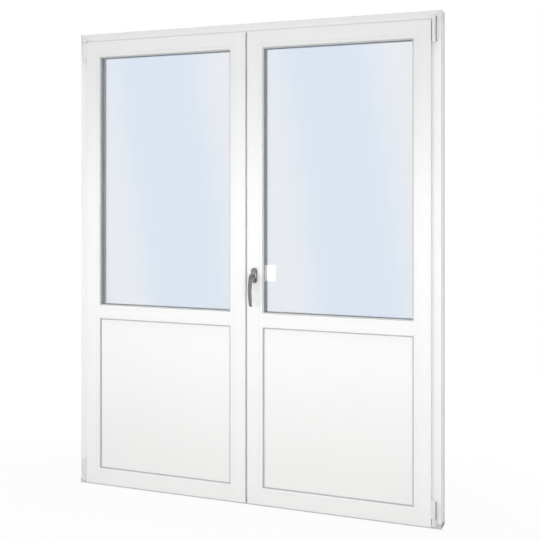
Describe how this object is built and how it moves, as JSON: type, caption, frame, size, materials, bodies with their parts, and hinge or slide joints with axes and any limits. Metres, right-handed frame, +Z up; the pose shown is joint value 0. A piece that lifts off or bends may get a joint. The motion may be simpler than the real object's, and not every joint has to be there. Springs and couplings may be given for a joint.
{
  "type": "french doors",
  "caption": "White double door in its frame: glazed leaves over plain panels, one leaf with a tilt-and-turn handle, the other with flush bolts and a false mullion.",
  "frame": {"origin": "centre of the underside of the threshold, at the middle of the frame's depth", "axes": "X to the right seen from the room, Y outwards from the room, Z up"},
  "size_m": [1.692, 0.1456, 2.096],
  "materials": {
    "white_frame": "smooth white window profile, slightly glossy",
    "white_panel": "plain white foam-cored panel, satin",
    "grey_gasket": "soft light grey sealing strip",
    "clear_glass": "clear insulating glass with a faint cool tint",
    "dark_spacer": "slate grey edge spacer",
    "grey_handle": "satin titanium grey anodised",
    "white_hinge": "white powder-coated zinc",
    "galvanised_steel": "galvanised box section",
    "threshold_grey": "silver grey anodised, matt",
    "block_plastic": "moulded plastic",
    "lock_steel": "zinc-plated steel"
  },
  "bodies": {
    "door_frame": {"frame_head": "white_frame", "frame_jamb_left": "white_frame", "frame_jamb_right": "white_frame", "threshold": "threshold_grey", "frame_steels": "galvanised_steel", "frame_seal": "grey_gasket", "upper_bearing_left": "white_hinge", "upper_bearing_right": "white_hinge", "lower_bearing_left": "white_hinge", "lower_bearing_right": "white_hinge", "hinge_pins": "lock_steel"},
    "right_carrier": {"right_pivot_pin": "lock_steel"},
    "right_leaf": {"right_hinge_stile": "white_frame", "right_lock_stile": "white_frame", "right_top_rail": "white_frame", "right_bottom_rail": "white_frame", "right_mid_rail": "white_frame", "right_beads": "white_frame", "right_steels": "galvanised_steel", "right_inner_pane": "clear_glass", "right_middle_pane": "clear_glass", "right_outer_pane": "clear_glass", "right_spacers": "dark_spacer", "right_panel": "white_panel", "right_setting_blocks": "block_plastic", "right_glazing_gaskets": "grey_gasket", "right_leaf_seal": "grey_gasket", "right_lower_hinge": "white_hinge", "lock_faceplate": "lock_steel", "gearbox": "lock_steel", "rosette_base": "block_plastic", "rosette_cover": "grey_handle", "handle_screws": "lock_steel"},
    "tilt_stay": {"stay_arm": "white_hinge"},
    "handle": {"handle_lever": "grey_handle", "lock_follower": "lock_steel"},
    "lock_drive": {"drive_rod": "lock_steel"},
    "left_leaf": {"left_hinge_stile": "white_frame", "left_lock_stile": "white_frame", "left_top_rail": "white_frame", "left_bottom_rail": "white_frame", "left_mid_rail": "white_frame", "left_beads": "white_frame", "left_steels": "galvanised_steel", "left_inner_pane": "clear_glass", "left_middle_pane": "clear_glass", "left_outer_pane": "clear_glass", "left_spacers": "dark_spacer", "left_panel": "white_panel", "left_setting_blocks": "block_plastic", "left_glazing_gaskets": "grey_gasket", "left_leaf_seal": "grey_gasket", "left_lower_hinge": "white_hinge", "left_upper_hinge": "white_hinge", "astragal": "white_frame", "astragal_caps": "white_frame", "astragal_seal": "grey_gasket", "astragal_keeps": "lock_steel"},
    "upper_bolt": {"top_bolt": "lock_steel"},
    "lower_bolt": {"bottom_bolt": "lock_steel"}
  },
  "joints": [
    {"name": "right_turn", "type": "hinge", "parent": "door_frame", "child": "right_carrier", "pos_m": [0.8185, -0.0455, 0.04], "axis": [0, 0, 1], "range_deg": [0, 100]},
    {"name": "right_tilt", "type": "hinge", "parent": "right_carrier", "child": "right_leaf", "pos_m": [0.8185, -0.0455, 0.0323], "axis": [1, 0, 0], "range_deg": [0, 4.5]},
    {"name": "stay_swing", "type": "hinge", "parent": "right_carrier", "child": "tilt_stay", "pos_m": [0.8185, -0.0455, 2], "axis": [0, 0, 1], "range_deg": [0, 19.2]},
    {"name": "handle_turn", "type": "hinge", "parent": "right_leaf", "child": "handle", "pos_m": [0.03925, -0.05, 1], "axis": [0, -1, 0], "range_deg": [0, 180]},
    {"name": "drive_slide", "type": "slide", "parent": "right_leaf", "child": "lock_drive", "axis": [0, 0, 1], "range_m": [0, 0.0362]},
    {"name": "left_turn", "type": "hinge", "parent": "door_frame", "child": "left_leaf", "pos_m": [-0.8185, -0.0455, 0.04], "axis": [0, 0, -1], "range_deg": [0, 91]},
    {"name": "upper_bolt_slide", "type": "slide", "parent": "left_leaf", "child": "upper_bolt", "axis": [0, 0, 1], "range_m": [0, 0.018]},
    {"name": "lower_bolt_slide", "type": "slide", "parent": "left_leaf", "child": "lower_bolt", "axis": [0, 0, -1], "range_m": [0, 0.018]}
  ],
  "couplings": [
    {"joint": "stay_swing", "follows": "right_tilt", "ratio": 4.204},
    {"joint": "drive_slide", "follows": "handle_turn", "m_per_rad": 0.011459},
    {"joint": "left_turn", "follows": "right_turn", "ratio": 0.9}
  ]
}
